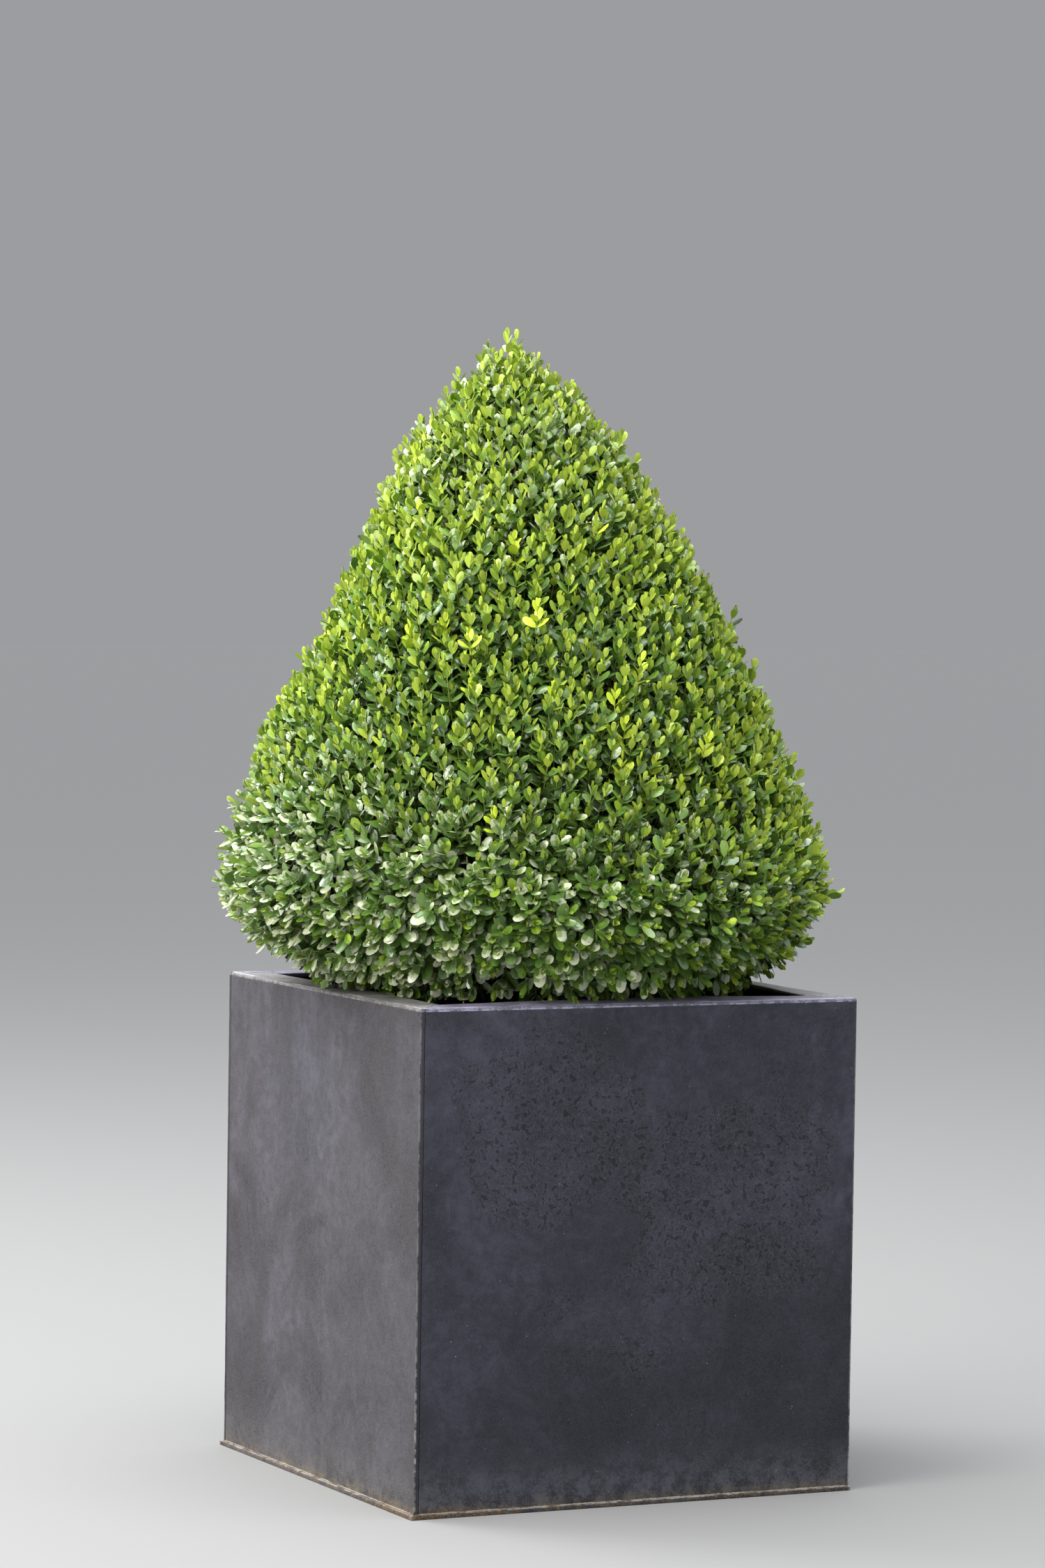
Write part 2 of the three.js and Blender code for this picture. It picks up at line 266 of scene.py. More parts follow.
def mill_steel(name, pale, rust, shine):
    """Hot-rolled plate with its dark scale: cloudy, pitted, dusty low down, worn at its edges, with
    painted light and shade.
    """
    steel = Surface(name)
    x, y, z = steel.axes()
    wide, deep = abs(x), abs(y)
    flank = wide.step(HALF_WIDTH - 0.003, HALF_WIDTH - 0.001)

    # The front is painted lighter towards its top and its left, and in two places: painted light, as if
    # falling from above and the left.
    painted_light = 0.65 * z.step(0, PLANTER_HEIGHT) + 0.35 * x.step(HALF_WIDTH, -HALF_WIDTH)
    painted_light_above = steel.blotch(x, z, 0.2, 0.54, 0.24)
    painted_light_middle = steel.blotch(x, z, 0, 0.36, 0.2)
    painted_light = painted_light + painted_light_above * 1.6 + painted_light_middle * 0.35

    # The flanks have runs from the top, painted shade near their front edge and a painted sheen.
    painted_shade_above = steel.blotch(y, z, -0.27, 0.5, 0.17)
    painted_shade_below = steel.blotch(y, z, -0.28, 0.22, 0.26)
    painted_shade = painted_shade_above * 0.6 + painted_shade_below * 0.7
    streak = steel.where.stretched(15, 15, 2.2).noise(1, 2, 0.5).step(0.4, 0.62)
    run = steel.where.stretched(34, 34, 3.5).noise(1, 4, 0.6).step(0.4, 0.62) * z.step(0.42, 0.62)
    painted_sheen_above = steel.blotch(y, z, 0.06, 0.5, 0.17)
    painted_sheen_below = steel.blotch(y, z, 0.1, 0.22, 0.14)
    painted_flank_sheen = painted_sheen_above + painted_sheen_below * 0.3

    # The scale varies from wide clouds down to a fine grain.
    cloud = steel.where.noise(6.5, 7, 0.66, 0.6).step(0.38, 0.62)
    patch = steel.where.noise(21, 8, 0.74, 1.2).step(0.4, 0.6)
    mottle = steel.where.noise(62, 9, 0.8).step(0.38, 0.62)
    grain = steel.where.noise(560, 5, 0.8).step(0.36, 0.64)

    # In three patches, and here and there beside them, it has come off in flakes with pale lips.
    pits_left = steel.blotch(x, z, -0.13, 0.48, 0.17)
    pits_right = steel.blotch(x, z, 0.13, 0.38, 0.18)
    pits_below = steel.blotch(x, z, -0.03, 0.24, 0.12)
    pitted = pits_left + pits_right
    pitted = pitted + pits_below * 0.5
    pitted = (pitted + steel.where.noise(9, 4, 0.6).step(0.4, 0.66) * 0.5 - 0.2).step(0.05, 0.6)
    scale = steel.where.noise(118, 7, 0.7, 0.5)
    flake = scale.step(0.53, 0.58) * pitted
    lip = scale.step(0.48, 0.51) * scale.step(0.55, 0.52) * pitted

    # Specks and fine scratches lie over all of it.
    dots = steel.add("TexVoronoi", {}, {"Vector": steel.where.stretched(1, 1, 0.8), "Scale": 90})
    speck = (dots + 0.17 * steel.where.noise(33, 3, 0.6)).step(0.135, 0.105)
    scratch = steel.where.stretched(60, 60, 420).noise(1, 3, 0.7, 1.5).step(0.66, 0.76)

    # Dust, splashed soil and rust gather low down, and rust most at the front left corner.
    dust = z.step(0.085, 0.006) * steel.where.noise(36, 9, 0.8).step(0.4, 0.6)
    splash = z.step(0.1, 0) * steel.where.noise(620, 4, 0.7).step(0.56, 0.65) * (0.6 + 0.4 * flank)
    near_left = steel.blotch(x, y, -HALF_WIDTH, -HALF_WIDTH, 0.16)
    foot = steel.where.noise(150, 7, 0.72) + near_left * 0.11
    foot = z.step(0.018, 0.004) * foot.step(rust, rust + 0.05)

    # The upright corners, the fold at the top, a line under it and the base's brim are rubbed bare; on
    # the upright corners this bare metal is also a painted highlight line.
    worn = steel.where.noise(70, 7, 0.7).step(0.42, 0.58)
    corner = steel.math("MINIMUM", wide, deep).step(HALF_WIDTH - 0.0024, HALF_WIDTH - 0.0012)
    brim = z.step(PLATE - 0.0016, PLATE - 0.0004) * z.step(PLATE + 0.0012, PLATE)
    rubbed_edge_and_highlight = (corner * (0.35 + 0.65 * z.step(0.25, 0.05)) + brim) * worn
    fold_foot = PLANTER_HEIGHT - 1.2 * FOLD
    fold = z.step(fold_foot, PLANTER_HEIGHT - 0.8 * FOLD)
    brink = z.step(fold_foot - 0.0014, fold_foot) - fold

    # Where a wall laps the next one, the end of its plate shows.
    seam = (HALF_WIDTH - PLATE - 0.0004, HALF_WIDTH - PLATE + 0.0002)
    cut_ahead = deep.step(HALF_WIDTH - 0.001, HALF_WIDTH - 0.0004) * wide.step(*seam)
    cut_aside = wide.step(HALF_WIDTH - 0.001, HALF_WIDTH - 0.0004) * deep.step(*seam)
    same_sign = (x * y).step(-0.0001, 0.0001)
    cut_edge = cut_ahead * same_sign + cut_aside * (1 - same_sign)

    # The front and back are painted darker and bluer than the flanks, a painted shade with a bluish
    # painted reflection; the flanks are painted lighter, as if lit from the left.
    darker = painted_light.mix(srgb(25, 26, 30), srgb(54, 54, 64))
    lighter = painted_light.mix(srgb(42, 43, 50), srgb(77, 78, 91))
    front = cloud.mix(darker, lighter)
    side = cloud.mix(srgb(40, 38, 39), srgb(92, 89, 97)).under(
        (painted_flank_sheen * 0.6, srgb(104, 103, 116)),
        (streak * 0.3 + run * 0.5, srgb(50, 47, 49)),
        (painted_shade * 0.65, srgb(54, 53, 51)),
    )
    silt = flank.mix(srgb(112, 105, 94), srgb(134, 122, 102))
    silt = z.step(0.024, 0.008).mix(flank.mix(srgb(96, 99, 109), srgb(105, 102, 101)), silt)
    bare = flank.mix(srgb(92, 92, 106), srgb(104, 100, 98))
    bare = grain.mix(bare, flank.mix(srgb(160, 159, 177), srgb(164, 158, 151)))
    tint = steel.where.noise(260, 5, 0.7).step(0.4, 0.6)
    colour = flank.mix(front, side).under(
        (patch * 0.45, flank.mix(srgb(22, 22, 26), srgb(50, 47, 48))),
        (mottle * 0.36, flank.mix(srgb(16, 16, 19), srgb(42, 40, 42))),
        (grain * 0.38, flank.mix(srgb(78, 78, 91), srgb(118, 114, 120))),
        (pitted * 0.24, srgb(34, 34, 38)),
        (flake * 0.56, srgb(17, 17, 19)),
        (lip * 0.34, srgb(98, 98, 110)),
        (scratch * 0.25, srgb(128, 130, 140)),
        (dust * pale, silt),
        (splash * 0.55, srgb(166, 158, 143)),
        (cut_edge * 0.7, z.step(0.1, 0.56).mix(srgb(36, 36, 41), srgb(56, 55, 61))),
        (fold * (0.5 + 0.4 * worn), bare),
        (brink * (0.25 + 0.7 * worn), flank.mix(srgb(184, 185, 205), srgb(150, 146, 146))),
        (rubbed_edge_and_highlight * 0.7, srgb(172, 167, 162)),
        (speck * 0.5, srgb(168, 164, 158)),
        (foot * 0.65, tint.mix(srgb(62, 50, 38), srgb(132, 105, 70))),
    )
    relief = 0.3 * cloud + 0.4 * grain + 0.3 * mottle - 1.2 * flake + 0.5 * lip
    relief = relief + 0.8 * foot + 0.6 * speck
    return steel.wear(
        Base_Color=colour,
        Roughness=shine + 0.08 * mottle + 0.14 * dust + 0.2 * foot + 0.12 * flake,
        Metallic=0.15,
        Specular_IOR_Level=0.35,
        Normal=steel.bump(relief, 0.00035, 0.7),
    )


points, faces = lattice(*bevelled(BASE_LOW, BASE_HIGH, SHEARED_EDGE, BASE_CUTS))
points = rounded(points, BASE_LOW, BASE_HIGH, SHEARED_EDGE)
outward = points - BASE_MIDDLE
cut = ripple(points, 0.02, 3) * 0.00022 + ripple(points, 0.006, 4) * 0.00012
points[:, :2] -= np.sign(outward[:, :2]) * (np.abs(outward[:, :2]) > 0.3) * np.abs(cut)[:, None]
base_steel = mill_steel("steel_base", pale=0.45, rust=0.52, shine=0.5)
base = piece("base_plate", points, faces, [base_steel])
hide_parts("planter_base")


# The four walls are plates of the same steel, each lapping over the end of the next so that its cut
# edge shows as a narrow strip with a dark seam. They run up to the rim, where the joint is ground to
# a round edge and rubbed bare, and welding has left them very slightly dished.
SIDES = ("front", "right", "back", "left")
QUARTER_TURN = math.pi / 2
WALL_LOW = (-HALF_WIDTH + PLATE + GAP, -HALF_WIDTH, PLATE + GAP)
WALL_HIGH = (HALF_WIDTH, -HALF_WIDTH + PLATE, PLANTER_HEIGHT - GAP)
WALL_CUTS = (36, 1, 36)
DISH = 0.0009
DISH_UNEVEN = 0.0005
wall_steel = mill_steel("steel_walls", pale=0.6, rust=0.58, shine=0.46)


def turned(points, angle):
    """Points turned about the upright axis."""
    across = points[..., 0] * np.cos(angle) - points[..., 1] * np.sin(angle)
    along = points[..., 0] * np.sin(angle) + points[..., 1] * np.cos(angle)
    return np.stack([across, along, points[..., 2]], axis=-1)


for quarter, side in enumerate(SIDES):
    across, through, upward = bevelled(WALL_LOW, WALL_HIGH, SHEARED_EDGE, WALL_CUTS)
    through[1] = WALL_LOW[1] + FOLD
    upward[-2] = WALL_HIGH[2] - FOLD
    points, faces = lattice(across, through, upward)
    folded = (points[:, 1] < WALL_LOW[1] + 1e-6) & (points[:, 2] > WALL_HIGH[2] - 1e-6)
    bevel = np.where(folded, FOLD, SHEARED_EDGE)[:, None]
    points = rounded(points, WALL_LOW, WALL_HIGH, bevel)
    span = np.array(WALL_HIGH) - WALL_LOW
    share = (points[:, [0, 2]] - np.array(WALL_LOW)[[0, 2]]) / span[[0, 2]]
    held = np.sin(np.pi * np.clip(share, 0, 1)).prod(axis=1)
    points[:, 1] += held * (DISH + DISH_UNEVEN * ripple(points, 0.45, 20 + quarter))
    wall = piece(f"wall_{side}", turned(points, quarter * QUARTER_TURN), faces, [wall_steel])
    wall.modifiers.new("flat faces", "WEIGHTED_NORMAL")
    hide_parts(f"planter_panel_{side}")


# The rim is four flat strips turned inward over the walls and mitred. Their top is rubbed to pale bare
# metal, brightest along the outer edge, where it also carries a painted highlight, and heat has lifted
# the inner edges a little between the corners.
RIM_WIDTH = 0.048
RIM_LIFT = {"front": 0.003, "right": 0.0042, "back": 0.002, "left": 0.0008}
RIM_WAVE = 0.00025
RIM_INNER_WAVE = 0.00035
RIM_EDGE = 0.0011
RIM_LOW = (-HALF_WIDTH, FOLD * 0.8, PLANTER_HEIGHT - PLATE)
RIM_HIGH = (HALF_WIDTH, RIM_WIDTH, PLANTER_HEIGHT)
RIM_CUTS = (80, 10, 1)

rim = Surface("steel_rim")
x, y, z = rim.axes()
outer = rim.math("MAXIMUM", abs(x), abs(y))
top = z.step(PLANTER_HEIGHT - 0.0016, PLANTER_HEIGHT - 0.0002)
# Along the outer edge, the rubbed metal also carries a painted highlight.
rubbed_and_highlight = outer.step(HALF_WIDTH - 0.007, HALF_WIDTH - 0.0005)
cloud = rim.where.noise(26, 8, 0.7, 0.5).step(0.36, 0.64)
brushed = rim.where.noise(240, 5, 0.72).step(0.36, 0.64)
stain = rim.where.noise(60, 7, 0.74).step(0.56, 0.66)
fleck = rim.where.noise(400, 3, 0.6).step(0.58, 0.66)
ahead = (abs(y) - abs(x)).step(-0.002, 0.002)
dull = ahead.mix(srgb(125, 122, 122), srgb(118, 111, 132))
clean = ahead.mix(srgb(175, 171, 169), srgb(175, 166, 194))
colour = cloud.mix(dull, clean).under(
    (brushed * 0.45, ahead.mix(srgb(203, 199, 195), srgb(206, 197, 224))),
    (stain * 0.6, srgb(66, 62, 62)),
    (rubbed_and_highlight * 0.75 * cloud.step(0, 0.8), srgb(216, 208, 228)),
    (fleck * 0.6, srgb(216, 212, 208)),
)
rim_steel = rim.wear(
    Base_Color=top.mix(srgb(70, 69, 77), colour),
    Roughness=0.4 + 0.16 * cloud + 0.1 * stain,
    Metallic=0.55,
    Normal=rim.bump(0.6 * brushed + 0.8 * cloud + 0.4 * fleck, 0.0002, 0.6),
)

for quarter, side in enumerate(SIDES):
    points, faces = lattice(*bevelled(RIM_LOW, RIM_HIGH, RIM_EDGE, RIM_CUTS))
    points = rounded(points, RIM_LOW, RIM_HIGH, RIM_EDGE)
    inward = points[:, 1] / RIM_WIDTH
    middle = np.cos(points[:, 0] / HALF_WIDTH * math.pi / 2)
    points[:, 0] *= (HALF_WIDTH - points[:, 1] - GAP) / HALF_WIDTH
    points[:, 2] += RIM_LIFT[side] * inward**1.5 * np.clip(middle, 0, 1)
    points[:, 2] += RIM_WAVE * ripple(points, 0.07, 31) * np.clip(middle * 4, 0, 1)
    points[:, 1] += RIM_INNER_WAVE * ripple(points, 0.05, 32 + quarter) * inward - HALF_WIDTH
    strip = piece(f"rim_{side}", turned(points, quarter * QUARTER_TURN), faces, [rim_steel])
    strip.modifiers.new("flat faces", "WEIGHTED_NORMAL")
    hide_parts(f"planter_rim_{side}")


# The welds are thin beads laid by hand: one over each mitre of the rim and one along the foot of each
# wall, where it meets the base plate. They are ground down in places and bright where scraped.
BEAD_STEP = 0.0021
BEAD_SIDES = 7
MITRE_RADIUS = 0.0017
MITRE_SUNK = (0, 0, -0.0011)
FOOT_RADIUS = 0.0012
FOOT_SUNK = (0, 0.0003, 0.0001)


def tubes(paths, radii, sides):
    """Round limbs along paths of (limb, point, xyz), with a radius for each point."""
    ahead = np.gradient(paths, axis=1)
    ahead /= np.linalg.norm(ahead, axis=2, keepdims=True)
    plane = np.cross(ahead[:, 0], ahead[:, -1]) + 1e-3 * np.cross(ahead[:, 0], (0.31, 0.53, 0.79))
    across = np.cross(ahead, plane[:, None])
    across /= np.linalg.norm(across, axis=2, keepdims=True)
    over = np.cross(across, ahead)
    angles = np.arange(sides) * 2 * math.pi / sides
    ring = (
        across[:, :, None] * np.cos(angles)[:, None]
        + over[:, :, None] * np.sin(angles)[:, None]
    )
    points = paths[:, :, None] + ring * np.asarray(radii)[:, :, None, None]
    limbs, rings = paths.shape[:2]
    first = np.arange(limbs)[:, None, None] * rings * sides + np.arange(rings - 1)[:, None] * sides
    here = first + np.arange(sides)
    beside = first + (np.arange(sides) + 1) % sides
    faces = np.stack([here, here + sides, beside + sides, beside], axis=-1)
    return points.reshape(-1, 3), faces.reshape(-1, 4)


def joined(groups):
    """The points and faces of several groups, as one."""
    firsts = np.cumsum([0] + [len(own_points) for own_points, _ in groups])
    all_points = np.concatenate([own_points for own_points, _ in groups])
    return all_points, np.concatenate([own + first for (_, own), first in zip(groups, firsts)])


def bead(start, end, radius, sunk, seed):
    """A wavy bead from start to end, sunk into what it joins."""
    random = np.random.default_rng(seed)
    length = np.linalg.norm(np.subtract(end, start))
    steps = int(length / BEAD_STEP)
    share = np.linspace(0, 1, steps)[:, None]
    path = np.array(start) * (1 - share) + np.array(end) * share + np.array(sunk)
    path += random.normal(size=path.shape) * radius * 0.12
    swell = 1 + 0.16 * np.sin(np.arange(steps) * 1.9) + random.normal(size=steps) * 0.1
    swell *= np.clip(np.minimum(np.arange(steps), np.arange(steps)[::-1]) / 3, 0.15, 1)
    return path[None], radius * swell[None]


weld = Surface("steel_welds")
ripples = weld.where.noise(310, 4, 0.6).step(0.34, 0.66)
tarnish = weld.where.noise(38, 6, 0.65).step(0.44, 0.62)
low_down = weld.axes()[2].step(0.3, 0.2)
colour = ripples.mix(srgb(104, 102, 106), srgb(184, 180, 178)).under(
    (tarnish * 0.7, srgb(82, 77, 75)),
    (low_down * 0.75, tarnish.mix(srgb(152, 138, 114), srgb(92, 74, 54))),
)
weld_steel = weld.wear(
    Base_Color=colour,
    Roughness=0.5 + 0.2 * tarnish,
    Metallic=0.3,
    Normal=weld.bump(ripples, 0.0003, 0.7),
)

beads = []
for quarter in range(4):
    outside = -HALF_WIDTH + 0.001
    inside = RIM_WIDTH - HALF_WIDTH
    mitre = ((outside, outside, PLANTER_HEIGHT), (inside, inside, PLANTER_HEIGHT))
    foot = ((-HALF_WIDTH + 0.002, -HALF_WIDTH, PLATE), (HALF_WIDTH - 0.002, -HALF_WIDTH, PLATE))
    for (start, end), radius, sunk in (
        (mitre, MITRE_RADIUS, MITRE_SUNK),
        (foot, FOOT_RADIUS, FOOT_SUNK),
    ):
        ends = turned(np.array([start, end, sunk]), quarter * QUARTER_TURN)
        beads.append(tubes(*bead(ends[0], ends[1], radius, ends[2], 40 + len(beads)), BEAD_SIDES))
points, faces = joined(beads)
welds = piece("weld_beads", points, faces, [weld_steel])


# Dark, moist potting soil fills the planter to 60 mm below the rim, crumbly on top, with bark chips.
# It lies loose between the walls.
SOIL_TOP = 0.570
SOIL_HALF = HALF_WIDTH - PLATE - GAP
SOIL_LOW = (-SOIL_HALF, -SOIL_HALF, PLATE + GAP)
SOIL_HIGH = (SOIL_HALF, SOIL_HALF, SOIL_TOP)
SOIL_EDGE = 0.002
SOIL_CUTS = (64, 64, 4)
CRUMBS_SUNK = 0.005
CHIP_COUNT = 620
CHIP_SIZES = (0.005, 0.015)
CHIP_LEAST = (0.5, 0.3, 0.14)
CHIP_MOST = (1, 0.7, 0.34)
CHIPS_SUNK = 0.0045
CHIPS_OFF_WALL = 0.01

points, faces = lattice(*bevelled(SOIL_LOW, SOIL_HIGH, SOIL_EDGE, SOIL_CUTS))
crumbs = 0.0028 * ripple(points, 0.05, 50) + 0.0016 * ripple(points, 0.018, 51)
crumbs += 0.001 * ripple(points, 0.008, 52)
on_top = points[:, 2] > SOIL_TOP - SOIL_EDGE / 2
points[:, 2] += np.where(on_top, crumbs - CRUMBS_SUNK, 0)

earth = Surface("soil")
clods = earth.where.noise(70, 8, 0.7).step(0.32, 0.7)
grit = earth.where.noise(380, 3, 0.6).step(0.62, 0.72)
fibre = earth.where.noise(150, 5, 0.6, 2.5).step(0.6, 0.68)
colour = clods.mix(srgb(30, 23, 18), srgb(62, 48, 37)).under(
    (grit * 0.6, srgb(112, 96, 76)),
    (fibre * 0.5, srgb(86, 62, 42)),
)
earth_look = earth.wear(
    Base_Color=colour,
    Roughness=0.85 + 0.1 * clods,
    Normal=earth.bump(clods + 0.6 * grit + 0.5 * fibre, 0.002, 0.9),
)
soil = piece("potting_soil", points, faces, [earth_look])
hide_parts("soil")

chips = Surface("bark_chips")
rings = chips.where.noise(160, 6, 0.65, 1.2).step(0.35, 0.66)
chip_look = chips.wear(
    Base_Color=rings.mix(srgb(52, 36, 25), srgb(112, 80, 54)),
    Roughness=0.8 + 0.1 * rings,
    Normal=chips.bump(rings, 0.0008, 0.8),
)
random = np.random.default_rng(53)
corners, quads = lattice((-0.5, 0.5), (-0.5, 0.5), (-0.5, 0.5))
size = random.uniform(*CHIP_SIZES, (CHIP_COUNT, 1, 1))
size = size * random.uniform(CHIP_LEAST, CHIP_MOST, (CHIP_COUNT, 3))[:, None]
shape = corners * size * random.uniform(0.62, 1.15, (CHIP_COUNT, 8, 3))
turn = random.uniform(0, 2 * math.pi, CHIP_COUNT)
tilt = random.normal(size=CHIP_COUNT) * 0.3
shape[:, :, 2] += np.tan(tilt)[:, None] * shape[:, :, 0] * 0.6
spun = turned(shape, turn[:, None])
reach = SOIL_HALF - CHIPS_OFF_WALL
spread = random.uniform(-reach, reach, (CHIP_COUNT, 2))
spun[:, :, :2] += spread[:, None]
spun[:, :, 2] += SOIL_TOP - CHIPS_SUNK
quads = quads + np.arange(CHIP_COUNT)[:, None, None] * len(corners)
chip_points, chip_faces = spun.reshape(-1, 3), quads.reshape(-1, 4)
litter = piece("soil_litter", chip_points, chip_faces, [chip_look], smooth=False)


# The plant stands on one short trunk with a root flare, which forks low into four boughs. Their bark
# is pale grey-tan, thin and corky, split into small plates along the grain.
PLANT = np.array((-0.019, 0.009, SOIL_TOP))
TRUNK_HEIGHT = 0.090
TRUNK_RADIUS = 0.017
TRUNK_RINGS = 60
TRUNK_SIDES = 64
FLARE_RADIUS = 0.033
FLARE_HEIGHT = 0.040
FLARE_ROOTS = 5
BOUGH_COUNT = 4
BOUGH_COURSE = ((0, 0.036), (0.35, 0.062), (0.7, 0.088), (1, 0.116))
BOUGH_REACH = 0.175
BOUGH_RADII = (0.012, 0.008)
BOUGH_RINGS = 54
BOUGH_SIDES = 22


def fraction(value, span=1):
    """How far a value has come from 0 to the span, kept between 0 and 1."""
    return np.clip(value / span, 0, 1)


def smooth_course(points, count, fineness=40):
    """Points spaced evenly along a smooth curve through the given ones."""
    points = np.asarray(points, dtype=float)
    ends = np.vstack([2 * points[0] - points[1], points, 2 * points[-1] - points[-2]])
    fine = []
    for k in range(len(points) - 1):
        a, b, c, d = ends[k:k + 4]
        t = np.linspace(0, 1, fineness, endpoint=k == len(points) - 2)[:, None]
        bent = (2 * a - 5 * b + 4 * c - d) * t**2
        fine.append(0.5 * (2 * b + (c - a) * t + bent + (3 * b - a - 3 * c + d) * t**3))
    fine = np.concatenate(fine)
    run = np.concatenate([[0], np.cumsum(np.linalg.norm(np.diff(fine, axis=0), axis=1))])
    wanted = np.linspace(0, run[-1], count)
    return np.stack([np.interp(wanted, run, fine[:, axis]) for axis in range(3)], axis=1)


bark = Surface("bark")
grain = bark.where.stretched(1, 1, 0.28).noise(230, 6, 0.66, 0.8).step(0.36, 0.64)
cells = {"Vector": bark.where.stretched(1, 1, 0.4), "Scale": 190}
plates = bark.add("TexVoronoi", {"feature": "DISTANCE_TO_EDGE"}, cells).step(0.0, 0.09)
lichen = bark.where.noise(48, 6, 0.7).step(0.58, 0.66)
colour = plates.mix(srgb(70, 58, 42), grain.mix(srgb(98, 84, 60), srgb(160, 145, 112)))
bark_look = bark.wear(
    Base_Color=colour.under((lichen * 0.4, srgb(150, 156, 128))),
    Roughness=0.82 + 0.1 * grain,
    Normal=bark.bump(plates + 0.5 * grain, 0.0011, 0.9),
)

level = np.zeros(TRUNK_RINGS)
path = np.stack([level, level, np.linspace(GAP, TRUNK_HEIGHT, TRUNK_RINGS)], axis=1)
flare = fraction(1 - path[:, 2] / FLARE_HEIGHT)
radii = TRUNK_RADIUS + (FLARE_RADIUS - TRUNK_RADIUS) * flare**2
points, faces = tubes(path[None], radii[None], TRUNK_SIDES)
flare = fraction(1 - points[:, 2] / FLARE_HEIGHT)
angle = np.arctan2(points[:, 1], points[:, 0])
relief = 0.018 * ripple(points * (1, 1, 0.3), 0.012, 60)
relief += 0.01 * ripple(points * (1, 1, 0.4), 0.005, 61)
points[:, :2] *= (1 + 0.12 * flare * np.cos(FLARE_ROOTS * angle) + relief)[:, None]
trunk = piece("trunk_bark", points + PLANT, faces, [bark_look])
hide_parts("trunk")

bough_ends = []
for k in range(BOUGH_COUNT):
    angle = (k + 0.5) * math.pi / 2 + 0.3 * math.sin(3 * k)
    reach = BOUGH_REACH * (1 - 0.1 * (k % 2))
    course = [(r * reach * math.cos(angle), r * reach * math.sin(angle), h) for r, h in BOUGH_COURSE]
    path = smooth_course(course, BOUGH_RINGS)
    points, faces = tubes(path[None], np.linspace(*BOUGH_RADII, BOUGH_RINGS)[None], BOUGH_SIDES)
    centre = np.repeat(path, BOUGH_SIDES, axis=0)
    relief = 0.05 * ripple(points, 0.012, 62 + k) + 0.03 * ripple(points, 0.005, 66 + k)
    points += (points - centre) * relief[:, None]
    bough = piece(f"bough_{k + 1}_bark", points + PLANT, faces, [bark_look])
    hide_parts(f"bough_{k + 1}")
    bough_ends.append(path[-1])


# Inside the foliage the trunk runs on as a leader and the boughs as upright limbs. Branches leave
# them for every spray, each meeting the clipped surface where the sprays of the model do.
CROWN_BOTTOM = 0.066
CROWN_WIDEST = 0.210
CROWN_TOP = 0.893
CROWN_RADIUS = 0.395
SKIRT_DEPTH = 0.130
FLANK_POWER = 1.22
FLANK_ROUND = 0.7
TIP_LEAN = np.array((-0.022, 0.010))
CORE_INSET = 0.042
CORE_INSET_BELOW = 0.022
SPRAY_COUNT = 142
SKIRT_DENSITY = 1.5
SPRAY_ROOT_DEPTH = 0.014
SPRAY_SWING = 0.35
SHOOT_RISE = 0.062
LEAST_LEAN = 0.25
GOLDEN_ANGLE = math.pi * (3 - math.sqrt(5))
LEADER_COURSE = (
    (0, 0, TRUNK_HEIGHT),
    (0.008, 0.004, 0.24),
    (-0.012, 0.008, 0.42),
    (0.004, -0.004, 0.58),
    (-0.016, 0.008, 0.74),
)
LEADER_RADII = (TRUNK_RADIUS, 0.004)
LIMB_RADII = (0.008, 0.003)
LIMB_RINGS = 60
LIMB_SIDES = 9
BRANCH_RADII = (0.0052, 0.0036)
BRANCH_RINGS = 9
SPRAY_RADII = (0.0036, 0.0022, 0.0008)
TWIG_SIDES = 5


def outline(s):
    """The outline's radius and height: s is 0 at the tip, 1 where it is widest, 2 at the foot."""
    t = fraction(1 - s)
    turn = fraction(s - 1) * math.pi / 2
    radius = np.where(
        s < 1,
        CROWN_RADIUS * (1 - t**FLANK_POWER) ** FLANK_ROUND,
        CROWN_RADIUS - SKIRT_DEPTH * (1 - np.cos(turn)),
    )
    height = np.where(
        s < 1,
        CROWN_WIDEST + t * (CROWN_TOP - CROWN_WIDEST),
        CROWN_WIDEST - (CROWN_WIDEST - CROWN_BOTTOM) * np.sin(turn),
    )
    return radius, height


def normal_angle(s):
    """Polar angle of the outline's outward normal: 0 at the tip, a right angle at the widest place."""
    before_radius, before_height = outline(np.maximum(s - 0.01, 0))
    after_radius, after_height = outline(np.minimum(s + 0.01, 2))
    return np.arctan2(before_height - after_height, after_radius - before_radius)


def even_places(count):
    """Values of s that share the outline's area evenly, but closer together on the skirt."""
    s = np.linspace(0, 2, 401)
    radius, height = outline(s)
    steps = np.hypot(np.diff(radius), np.diff(height)) * (radius[1:] + radius[:-1]) / 2
    areas = np.concatenate([[0], np.cumsum(np.where(s[1:] > 1, SKIRT_DENSITY, 1) * steps)])
    return np.interp((np.arange(count) + 0.5) / count * areas[-1], areas, s)


def unit(vectors):
    return vectors / np.linalg.norm(vectors, axis=-1, keepdims=True)


def polar(angle, azimuth):
    """Directions at an angle off vertical, towards an azimuth."""
    aside = np.sin(angle)
    return np.stack([aside * np.cos(azimuth), aside * np.sin(azimuth), np.cos(angle)], axis=-1)


